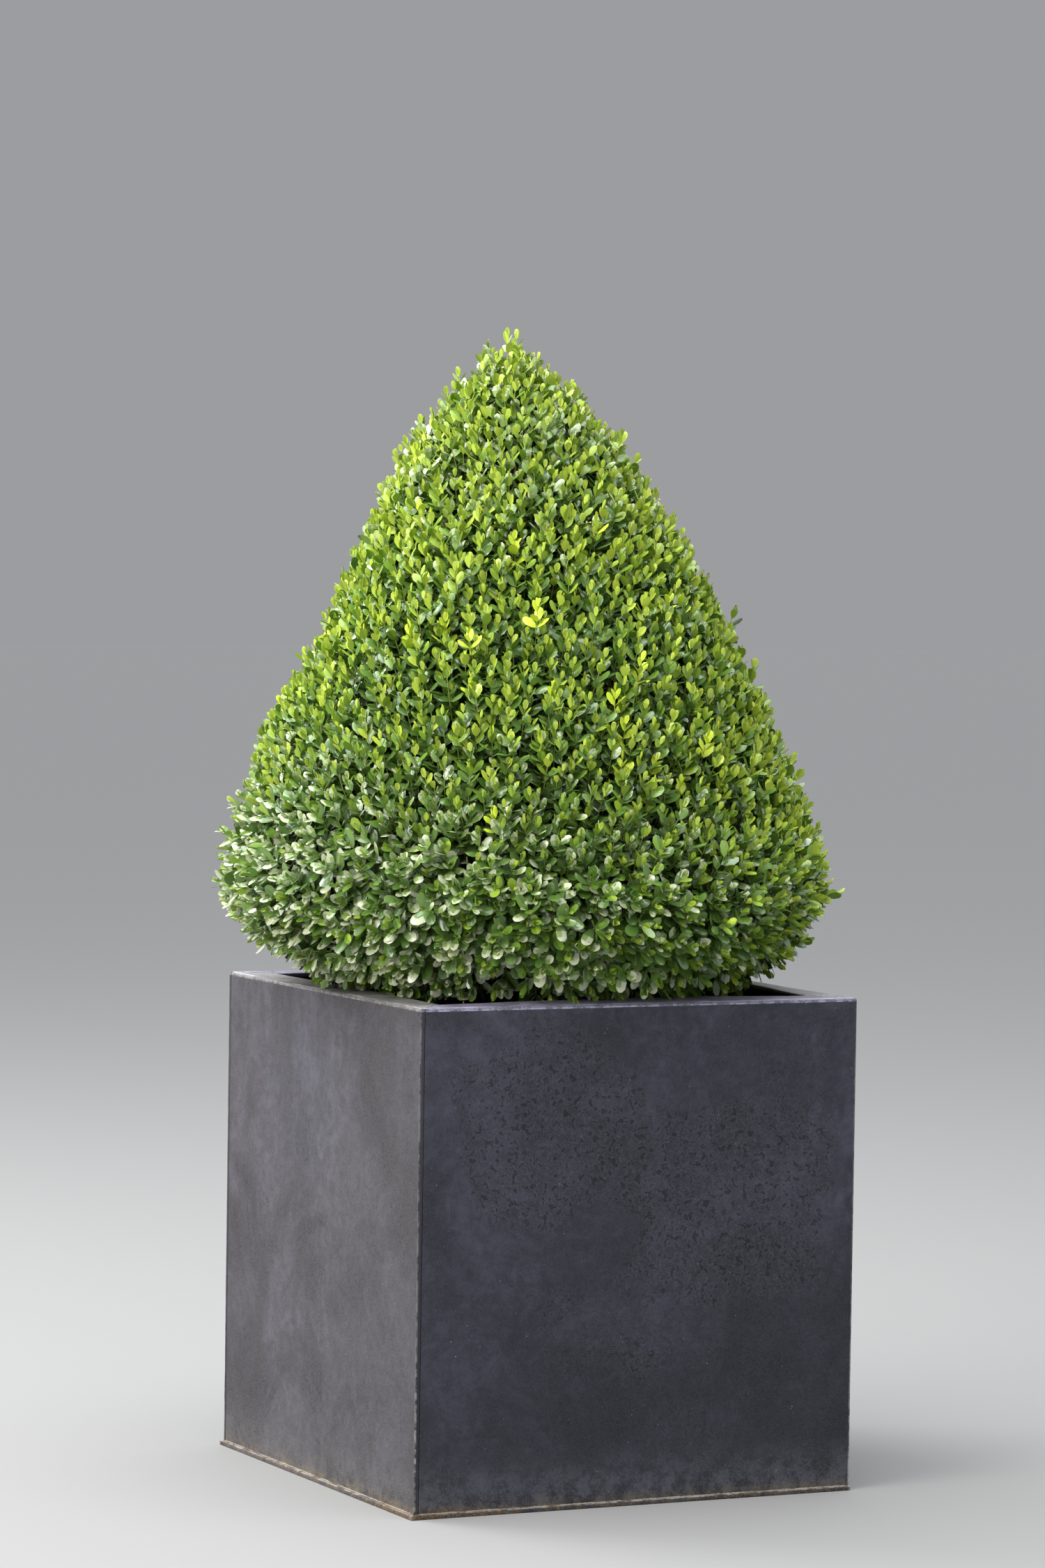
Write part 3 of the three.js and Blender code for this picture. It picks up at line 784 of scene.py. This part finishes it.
def grown(s, azimuth, swing):
    """Where shoots touch the outline, their way, the outline's normal there and their free length."""
    radius, height = outline(s)
    normal = normal_angle(s)
    climb = np.arctan2(SHOOT_RISE * np.cos(normal / 2), CORE_INSET)
    angle = np.maximum(normal - climb, normal * LEAST_LEAN)
    climbed = fraction(height - CROWN_WIDEST, CROWN_TOP - CROWN_WIDEST)
    lean = climbed[:, None] ** 3 * TIP_LEAN
    tip = np.column_stack([radius * np.cos(azimuth), radius * np.sin(azimuth), height])
    tip[:, :2] += lean
    inset = CORE_INSET + (CORE_INSET_BELOW - CORE_INSET) * np.maximum(s - 1, 0)
    return tip, polar(angle, azimuth + swing), polar(normal, azimuth), inset / np.cos(normal - angle)


def spray_swings():
    """The same seeded turns that the model's sprays take: the first of every two numbers drawn."""
    state, factor, modulus = 7, 16807, 2147483647
    for _ in range(SPRAY_COUNT):
        state = state * factor % modulus
        yield (state / modulus - 0.5) * SPRAY_SWING
        state = state * factor % modulus


def courses(start, start_way, end, end_way, count):
    """Smooth paths from starts to ends, setting out and arriving along the given ways."""
    t = np.linspace(0, 1, count)[None, :, None]
    length = np.linalg.norm(end - start, axis=-1, keepdims=True)[:, None]
    a, b = start[:, None], end[:, None]
    out, home = start_way[:, None] * length, end_way[:, None] * length
    return (
        (2 * t**3 - 3 * t**2 + 1) * a
        + (t**3 - 2 * t**2 + t) * out
        + (3 * t**2 - 2 * t**3) * b
        + (t**3 - t**2) * home
    )


spray_places = np.concatenate([[0], even_places(SPRAY_COUNT - 1)])
spray_azimuth = np.arange(SPRAY_COUNT) * GOLDEN_ANGLE
spray_swing = np.array(list(spray_swings()))
spray_tip, spray_way, _, spray_free = grown(spray_places, spray_azimuth, spray_swing)
spray_root = spray_tip - spray_way * (spray_free + SPRAY_ROOT_DEPTH)[:, None]

leader = smooth_course(LEADER_COURSE, LIMB_RINGS)
limbs = [(leader, np.linspace(*LEADER_RADII, LIMB_RINGS))]
for k, end in enumerate(bough_ends):
    out = unit(end * (1, 1, 0))
    course = [end, end + out * 0.045 + (0, 0, 0.06), end + out * 0.05 + (0, 0, 0.17)]
    course.append(end - out * (0.02 + 0.02 * k) + (0, 0, 0.32 + 0.03 * k))
    limbs.append((smooth_course(course, LIMB_RINGS), np.linspace(*LIMB_RADII, LIMB_RINGS)))

# Each branch leaves a limb where it is near and can climb at a slant.
perch = np.concatenate([course[2:] for course, _ in limbs])
perch_way = np.concatenate([np.gradient(course, axis=0)[2:] for course, _ in limbs])
rise = spray_root[:, None, 2] - perch[None, :, 2]
apart = np.linalg.norm(spray_root[:, None, :2] - perch[None, :, :2], axis=2)
nearest = (np.hypot(rise, apart) + 1.6 * np.abs(rise - 0.7 * apart)).argmin(axis=1)
outward = unit(spray_root * (1, 1, 0) + (0, 0, 0.08))
set_out = unit(0.5 * unit(perch_way[nearest]) + outward)
branches = courses(perch[nearest], set_out, spray_root, spray_way, BRANCH_RINGS)
branch_radii = np.linspace(*BRANCH_RADII, BRANCH_RINGS)[None].repeat(SPRAY_COUNT, axis=0)
spray_end = spray_root + (spray_tip - spray_root) * 0.45
spray_twigs = np.stack([spray_root, (spray_root + spray_end) / 2, spray_end], axis=1)
twig_radii = np.array([SPRAY_RADII]).repeat(SPRAY_COUNT, axis=0)

inner = Surface("branch_bark")
streaks = inner.where.noise(260, 5, 0.6).step(0.34, 0.66)
inner_look = inner.wear(
    Base_Color=streaks.mix(srgb(74, 66, 46), srgb(126, 116, 86)),
    Roughness=0.85 + 0.1 * streaks,
    Normal=inner.bump(streaks, 0.0006, 0.7),
)
groups = [tubes(course[None], radius[None], LIMB_SIDES) for course, radius in limbs]
groups.append(tubes(branches, branch_radii, TWIG_SIDES))
groups.append(tubes(spray_twigs, twig_radii, TWIG_SIDES))
points, faces = joined(groups)
branching = piece("inner_branches", points + PLANT, faces, [inner_look])
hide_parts("foliage_cone")


# Every spray breaks into some twenty-six fine shoots, which climb side by side to the clipped surface.
# Each is a green twig that carries its leaves in opposite pairs, each pair at right angles to the
# next. Low down they lie outwards, and on the skirt they hang, with dark hollows just above the rim.
SHOOT_COUNT = 4400
SHOOT_RUN = 0.085
SHOOT_BEND = 3.0
SHOOT_RADII = (0.0012, 0.0005)
SHOOT_SIDES = 3
LAID_ANGLE = math.radians(80)
RIGHTWARD = np.array((0.9, -0.43, 0))
MOST_HOLLOW = 0.78
SHORT_OF_OUTLINE = 0.0115
STRAY_SHARE = 0.04
STRAY_LENGTHS = (0.006, 0.018)
DRAWN_IN_AT_FOOT = 0.22
# Where the shears cut deeper or left more: azimuth in degrees, height above the soil, width, and how
# far out.
CLIPPING = (
    (154, 0.861, 0.02, 0.044),
    (154, 0.885, 0.012, 0.03),
    (-26, 0.885, 0.02, -0.012),
    (-26, 0.845, 0.015, 0.014),
    (154, 0.75, 0.05, 0.01),
    (154, 0.6, 0.12, -0.006),
    (154, 0.24, 0.08, -0.01),
    (154, 0.5, 0.09, -0.008),
    (154, 0.4, 0.06, 0.01),
    (-26, 0.66, 0.22, -0.006),
    (40, 0.6, 0.35, -0.006),
)

random = np.random.default_rng(70)
shoot_places = even_places(SHOOT_COUNT) + random.normal(size=SHOOT_COUNT) * 0.006
shoot_places = np.clip(shoot_places, 0, 2)
shoot_azimuth = np.arange(SHOOT_COUNT) * GOLDEN_ANGLE + random.normal(size=SHOOT_COUNT) * 0.02
hollow = 0.3 + 0.7 * ripple(grown(shoot_places, shoot_azimuth, 0)[0], 0.11, 72)
hollow = np.clip(hollow, 0, MOST_HOLLOW) * fraction(shoot_places - 1.35, 0.3)
sparse = 0.16 * fraction(shoot_places - 0.75, 0.2) + 0.2 * fraction(shoot_places - 1.2, 0.2)
kept = random.uniform(size=SHOOT_COUNT) > np.maximum(hollow, sparse)
shoot_places, shoot_azimuth = shoot_places[kept], shoot_azimuth[kept]
shoot_count = len(shoot_places)

shoot_swing = random.uniform(-0.5, 0.5, shoot_count) * SPRAY_SWING * 1.6
shoot_tip, shoot_way, shoot_normal, _ = grown(shoot_places, shoot_azimuth, shoot_swing)
right_side = (shoot_tip @ RIGHTWARD) / CROWN_RADIUS
skirt = fraction(shoot_places - 1)
laid = fraction(0.31 - 0.05 * right_side - shoot_tip[:, 2], 0.12)
tilt = np.arccos(shoot_way[:, 2])
tilt += laid * np.clip(LAID_ANGLE - tilt, 0, None)
shoot_way = np.column_stack([unit(shoot_way[:, :2]) * np.sin(tilt)[:, None], np.cos(tilt)])
shoot_way = unit(shoot_way + random.normal(size=(shoot_count, 3)) * (0.09 + 0.16 * skirt)[:, None])


def near(place, width):
    """1 for shoots whose tips are at a place, and less for those that end farther from it."""
    return np.exp(-((np.linalg.norm(shoot_tip - place, axis=1) / width) ** 2))


stray = (random.uniform(size=shoot_count) < STRAY_SHARE) & (shoot_places < 1.3)
proud = 0.006 * ripple(shoot_tip, 0.16, 71) + random.normal(size=shoot_count) * (0.005 + 0.004 * laid)
proud += 0.03 * skirt**3 - SHORT_OF_OUTLINE
proud += np.where(stray, random.uniform(*STRAY_LENGTHS, shoot_count), 0)
outline_radius, outline_height = outline(np.linspace(2, 0, 200))
for azimuth, height, width, out in CLIPPING:
    angle = math.radians(azimuth)
    radius = np.interp(height, outline_height, outline_radius)
    proud += out * near((radius * math.cos(angle), radius * math.sin(angle), height), width)
shoot_tip = shoot_tip + shoot_normal * proud[:, None]

# Towards the foot the outline draws in, most of all on the left.
drawn_in = fraction(0.16 - shoot_tip[:, 2], 0.09) ** 1.3 * np.clip(0.3 - 1.2 * right_side, 0.5, 1)
shoot_tip[:, :2] *= 1 - DRAWN_IN_AT_FOOT * drawn_in[:, None]
parent = np.linalg.norm(shoot_tip[:, None] - spray_tip[None], axis=2).argmin(axis=1)


def along_shoot(back):
    """The shoots' places at a distance back from their tips: from inside, turning upwards."""
    back = np.broadcast_to(back, shoot_count)[:, None]
    return shoot_tip - shoot_way * back - shoot_normal * (SHOOT_BEND * back**2)


def shoot_axis(back):
    """Which way the shoots grow there."""
    back = np.broadcast_to(back, shoot_count)[:, None]
    return unit(shoot_way + shoot_normal * (2 * SHOOT_BEND * back))


def plain(name, colour, roughness, gloss=0.5):
    """A material that is the same all over."""
    material = bpy.data.materials.new(name)
    material.use_nodes = True
    shader = material.node_tree.nodes["Principled BSDF"]
    shader.inputs["Base Color"].default_value = colour
    shader.inputs["Roughness"].default_value = roughness
    shader.inputs["Specular IOR Level"].default_value = gloss
    return material


share = random.uniform(0.0, 0.4, shoot_count)[:, None]
shoot_root = spray_root[parent] * (1 - share) + spray_end[parent] * share
shoots = [shoot_root] + [along_shoot(SHOOT_RUN * part) for part in (1, 0.66, 0.33, 0)]
shoot_radii = np.linspace(*SHOOT_RADII, len(shoots))[None].repeat(shoot_count, axis=0)
points, faces = tubes(np.stack(shoots, axis=1), shoot_radii, SHOOT_SIDES)
stretch = np.tile(np.repeat(np.arange(len(shoots) - 1), SHOOT_SIDES), shoot_count)
twig_looks = [
    plain("twig_tan", srgb(132, 120, 74), 0.6),
    plain("twig_green", srgb(150, 164, 78), 0.6),
]
green = (stretch > 0).astype(int)
twigs = piece("shoot_twigs", points + PLANT, faces, twig_looks, tones=green)
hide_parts("foliage_cone")


# The leaves are small, oval and leathery, widest past the middle. The youngest at a shoot's end are
# yellow-green and stand nearly closed, the grown ones are dark and glossy, and those on the skirt are
# rounder, face outward and droop.
UPRIGHT_LEAF = 0.0185
LAID_LEAF = 0.0238
PAIR_SPACING = 0.0088
PAIR_COUNT = 9
YOUNG_PAIRS = 4
LEAFY_PAIRS = 7
INNER_COUNT = 20000
INNER_DEPTHS = (0.055, 0.11)
INNER_LENGTH = 0.024
INNER_WIDTH = 0.66
INNER_CUP = 0.05
INNER_CURL = 0.1
SUNNY_PLACE = (-0.058, -0.282, 0.46)
SUNNY_WIDTH = 0.15
PIECE_TRIANGLES = 190_000
# How a shoot's leaves change inwards from its end: the pairs' numbers, and what they have.
OPENING = ((0, 1, 2, 3, 5, 8), (12, 25, 38, 46, 56, 66))
GROWTH = ((0, 1, 2, 3, 8), (0.7, 0.95, 1.12, 1.2, 1.2))
TURNING_OUT = ((0, 1, 2, 5), (0.1, 0.5, 0.95, 1.3))
CUPPING = ((0, 1, 2, 4), (0.14, 0.04, -0.04, -0.07))
CURLING = ((0, 1, 3), (-0.04, 0.04, 0.12))
AGEING = ((0, 1, 2, 3, 5), (1.5, 2.6, 4.2, 5.0, 5.8))
# Colour, roughness and gloss, from the youngest to the oldest and then those of other leaves.
TONES = {
    "bright": (srgb(204, 222, 66), 0.36, 0.5),
    "tip": (srgb(184, 202, 74), 0.32, 0.5),
    "young": (srgb(151, 178, 60), 0.28, 0.6),
    "fresh": (srgb(116, 149, 53), 0.25, 0.8),
    "grown": (srgb(90, 124, 52), 0.22, 0.9),
    "bluish": (srgb(109, 140, 70), 0.2, 1.0),
    "old": (srgb(77, 108, 44), 0.24, 0.9),
    "inner": (srgb(54, 78, 26), 0.4, 0.5),
    # The next two are painted sheen: leaves whitened as if catching the sky.
    "pale": (srgb(147, 168, 101), 0.22, 1.0),
    "painted_white_sheen": (srgb(200, 207, 171), 0.26, 1.0),
    # Painted shade: near black, for inner leaves in the skirt's hollows.
    "shade": (srgb(23, 35, 11), 0.5, 0.3),
}
TONE = {name: place for place, name in enumerate(TONES)}
# A pale leaf is bluish green at its foot, pale from the first of these shares of its length on and
# whitish
# from the second: both the paleness and the whitening are a painted sheen.
WHITENING = ("bluish", "pale", "painted_white_sheen")
PALE_FROM = 0.45
WHITE_SHEEN_FROM = 0.75


def leaf_form(side):
    """Corners and faces of a leaf, from its side's corners: along, across and share of the cup."""
    count = len(side)
    middle = [(x, 0, 0) for x, y, up in side]
    other = [(x, -y, up) for x, y, up in side]
    corners = [(0, 0, 0)] + side + middle + other + [(1, 0, 0.3)]
    end = 3 * count + 1
    faces = []
    for first, second in ((1, 1 + count), (1 + count, 1 + 2 * count)):
        faces.append((0, second, first))
        for k in range(count - 1):
            faces.append((first + k, second + k, second + k + 1))
            faces.append((first + k, second + k + 1, first + k + 1))
        faces.append((first + count - 1, second + count - 1, end))
    return np.array(corners, dtype=float), np.array(faces)


LEAF_FORMS = {
    "broad": leaf_form([(0.15, 0.5, 0.7), (0.46, 0.97, 1), (0.78, 0.9, 1), (0.95, 0.48, 0.8)]),
    "full": leaf_form([(0.24, 0.68, 0.8), (0.62, 1, 1), (0.9, 0.64, 0.8)]),
    "plain": leaf_form([(0.3, 0.8, 0.9), (0.78, 0.88, 1)]),
    "bare": leaf_form([(0.55, 1, 1)]),
}


def blade_tones(tone, half_shaded, form, form_faces):
    """Each face's tone: one half of a half-shaded leaf is painted darker, and a pale leaf whitens
    outwards: painted fold shade and sheen.
    """
    along = form[form_faces][:, :, 0].min(axis=1)
    far_half = np.arange(len(form_faces)) >= len(form_faces) // 2
    # The far half of a half-shaded leaf is painted one tone darker: painted shade of the leaf's fold.
    painted_fold_shade = (tone > TONE["bright"]) & (tone < TONE["old"]) & half_shaded
    tones = tone[:, None] + (painted_fold_shade[:, None] & far_half)
    outward = along + np.where(far_half, 0, 0.3)
    band = (outward > PALE_FROM).astype(int) + (outward > WHITE_SHEEN_FROM)
    whitening = np.array([TONE[name] for name in WHITENING])
    return np.where(tone[:, None] == TONE["pale"], whitening[band], tones).ravel()


def leaf_meshes(form, form_faces, foot, way, face, length, width, cup, curl):
    """Points and faces of many leaves, each from its foot along its way, its upper side to its face."""
    face = unit(face - way * (face * way).sum(axis=1, keepdims=True))
    across = np.cross(face, way)
    along = form[:, 0] * length[:, None]
    aside = form[:, 1] * (length * width / 2)[:, None]
    up = length[:, None] * (form[:, 2] * cup[:, None] - form[:, 0] ** 2 * curl[:, None])
    points = foot[:, None] + (
        along[..., None] * way[:, None]
        + aside[..., None] * across[:, None]
        + up[..., None] * face[:, None]
    )
    faces = form_faces + np.arange(len(foot))[:, None, None] * len(form)
    return points.reshape(-1, 3), faces.reshape(-1, 3)


leaf_looks = [plain(f"leaf_{name}", *look) for name, look in TONES.items()]

# A whole spray shares a tone, and its shoots differ a little. Towards the top the tones grow younger
# and lighter, partly fresh growth and partly painted light from above. Pale leaves, which carry a
# painted sheen, are most common low on the left, and some grow near the top.
spray_tone = 0.4 * ripple(spray_tip, 0.34, 80) + random.normal(size=SPRAY_COUNT) * 0.25
spray_tone -= 2.2 * (spray_tip[:, 2] / CROWN_TOP) ** 3
painted_sheen_share = np.clip(0.5 - 0.5 * right_side, 0.12, 0.85) * fraction(0.42 - shoot_tip[:, 2], 0.15)
painted_sheen_share += 0.36 * fraction(shoot_tip[:, 2] - 0.58, 0.2)
shoot_tone = spray_tone[parent] - 0.25 * right_side
shoot_tone = shoot_tone + random.normal(size=shoot_count) * 0.5 + laid * 1.15
sunny = near(SUNNY_PLACE, SUNNY_WIDTH)
bright = (random.uniform(size=shoot_count) < 0.012 + 0.07 * sunny) & (laid < 0.1)
# Inner leaves on the skirt take the near-black shade tone, a painted shade in its hollows.
innermost = np.where(shoot_places > 1.15, TONE["shade"], TONE["inner"])

parts = {kind: [] for kind in LEAF_FORMS}
skyward = unit(shoot_normal + (0, 0, 0.45))
flatter = skyward * (1 - 0.55 * laid * (1 - skirt))[:, None]
skyward = unit(flatter + (0, 0, 1) * (0.9 * laid * (1 - skirt))[:, None])
full_length = UPRIGHT_LEAF + (LAID_LEAF - UPRIGHT_LEAF) * laid
roll = random.uniform(0, math.pi, shoot_count)
for pair in range(PAIR_COUNT):
    back = 0.002 + PAIR_SPACING * pair ** 1.03 + random.uniform(-0.0015, 0.0015, shoot_count)
    foot = along_shoot(back)
    axis = shoot_axis(back)
    aside = unit(np.cross(axis, shoot_normal + (0, 0, 0.01)))
    outer = np.cross(aside, axis)
    roll = roll + math.pi / 2 + random.normal(size=shoot_count) * 0.16
    for half in (0, math.pi):
        radial = aside * np.cos(roll + half)[:, None] + outer * np.sin(roll + half)[:, None]
        spread = np.interp(pair, *OPENING) + 10 * laid + random.normal(size=shoot_count) * 6
        spread = np.radians(spread)
        way = axis * np.cos(spread)[:, None] + radial * np.sin(spread)[:, None]
        way[:, 2] -= 0.35 * skirt
        way = unit(way)
        face = axis * np.sin(spread)[:, None] - radial * np.cos(spread)[:, None]
        turn_out = (np.interp(pair, *TURNING_OUT) + 0.6 * laid)[:, None]
        face = face + turn_out * skyward + random.normal(size=(shoot_count, 3)) * 0.2
        size = full_length * np.interp(pair, *GROWTH)
        leaf_length = size * random.uniform(0.8, 1.12, shoot_count)
        width = 0.53 + 0.04 * pair ** 0.5 - 0.09 * laid + 0.06 * skirt
        width = width + random.normal(size=shoot_count) * 0.03
        cup = np.interp(pair, *CUPPING) + random.normal(size=shoot_count) * 0.025
        curl = np.interp(pair, *CURLING) + random.normal(size=shoot_count) * 0.05
        age = np.interp(pair, *AGEING) + shoot_tone
        age += random.normal(size=shoot_count) * 0.45
        tone = np.clip(np.floor(age), TONE["tip"], TONE["old"]).astype(int)
        tone = np.where(bright & (pair < YOUNG_PAIRS), TONE["bright"], tone)
        # Leaves dealt the pale tone carry a painted sheen.
        painted_sheen_leaf = random.uniform(size=shoot_count) < painted_sheen_share * 0.62
        tone = np.where(painted_sheen_leaf, TONE["pale"], tone)
        if pair >= LEAFY_PAIRS:
            tone = innermost
        if pair < YOUNG_PAIRS:
            kinds = (("broad", laid > 0.3), ("full", laid <= 0.3))
        else:
            kinds = (("plain" if pair < LEAFY_PAIRS else "bare", np.full(shoot_count, True)),)
        for kind, own in kinds:
            columns = (shoot_places, foot, way, face, leaf_length, width, cup, curl, tone)
            parts[kind].append([column[own] for column in columns])

# Old leaves hang on inside, on the bare wood behind the shoots, so that no light comes through. On the
# skirt they are painted near black, as painted shade.
hidden = random.integers(0, shoot_count, INNER_COUNT)
depth = random.uniform(*INNER_DEPTHS, INNER_COUNT)
foot = shoot_tip[hidden] - shoot_normal[hidden] * depth[:, None]
foot += random.normal(size=(INNER_COUNT, 3)) * 0.012
way = unit(random.normal(size=(INNER_COUNT, 3)) + (0, 0, 0.5))
face = shoot_normal[hidden] + random.normal(size=(INNER_COUNT, 3)) * 0.45
sizes = [np.full(INNER_COUNT, value) for value in (INNER_LENGTH, INNER_WIDTH, INNER_CUP, INNER_CURL)]
parts["bare"].append((shoot_places[hidden], foot, way, face, *sizes, innermost[hidden]))

part_number = 0
for kind, (form, form_faces) in LEAF_FORMS.items():
    place, *columns, tone = (np.concatenate(column) for column in zip(*parts[kind]))
    order = np.argsort(place, kind="stable")
    per_piece = PIECE_TRIANGLES // len(form_faces)
    for first in range(0, len(order), per_piece):
        own = order[first:first + per_piece]
        points, faces = leaf_meshes(form, form_faces, *(column[own] for column in columns))
        part_number += 1
        face_tones = blade_tones(tone[own], own % 2 == 0, form, form_faces)
        leaves = piece(f"leaves_{part_number}", points + PLANT, faces, leaf_looks, tones=face_tones)
        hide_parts("foliage_cone")


# The floor is plain and pale, and the light is a soft studio one: a large panel high on the left, a
# weaker one behind it, one overhead, and an even pale surround.
FLOOR_HALF = 60
HORIZON = (0.334, 0.336, 0.350, 1)
ZENITH = (1.25, 1.3, 1.38, 1)
corners = FLOOR_HALF * np.array([(-1, -1, 0), (1, -1, 0), (1, 1, 0), (-1, 1, 0)], dtype=float)
floor_mesh = bpy.data.meshes.new("floor")
floor_mesh.from_pydata(corners.tolist(), [], [(0, 1, 2, 3)])
floor = placed("floor", floor_mesh)
ground = Surface("floor")
floor_mesh.materials.append(ground.wear(Base_Color=srgb(142, 141, 139), Roughness=0.9))

for name, place, target, size, power, colour in (
    ("key", (-4.4, -1.4, 3.0), (0, 0, 0.8), 3.0, 210, (1.0, 0.985, 0.95)),
    ("back", (-2.6, 3.4, 4.4), (0, 0, 0.8), 3.0, 260, (0.97, 0.985, 1.0)),
    ("top", (-1.0, -0.4, 5.5), (0, 0, 0.9), 5.0, 290, (0.97, 0.985, 1.0)),
):
    panel = bpy.data.lights.new(name, "AREA")
    panel.shape = "SQUARE"
    panel.size = size
    panel.energy = power
    panel.color = colour
    lamp = placed(name, panel)
    lamp.location = place
    lamp.rotation_euler = (Vector(target) - Vector(place)).to_track_quat("-Z", "Y").to_euler()

world = bpy.data.worlds.new("surround")
bpy.context.scene.world = world
world.use_nodes = True
sky = Link(world.node_tree)
upward = sky.add("SeparateXYZ", {}, {0: sky.add("TexCoord", output="Generated")}, output=2)
shade = upward.step(0.12, 0.75).mix(HORIZON, ZENITH)
world.node_tree.links.new(shade.socket, world.node_tree.nodes["Background"].inputs["Color"])
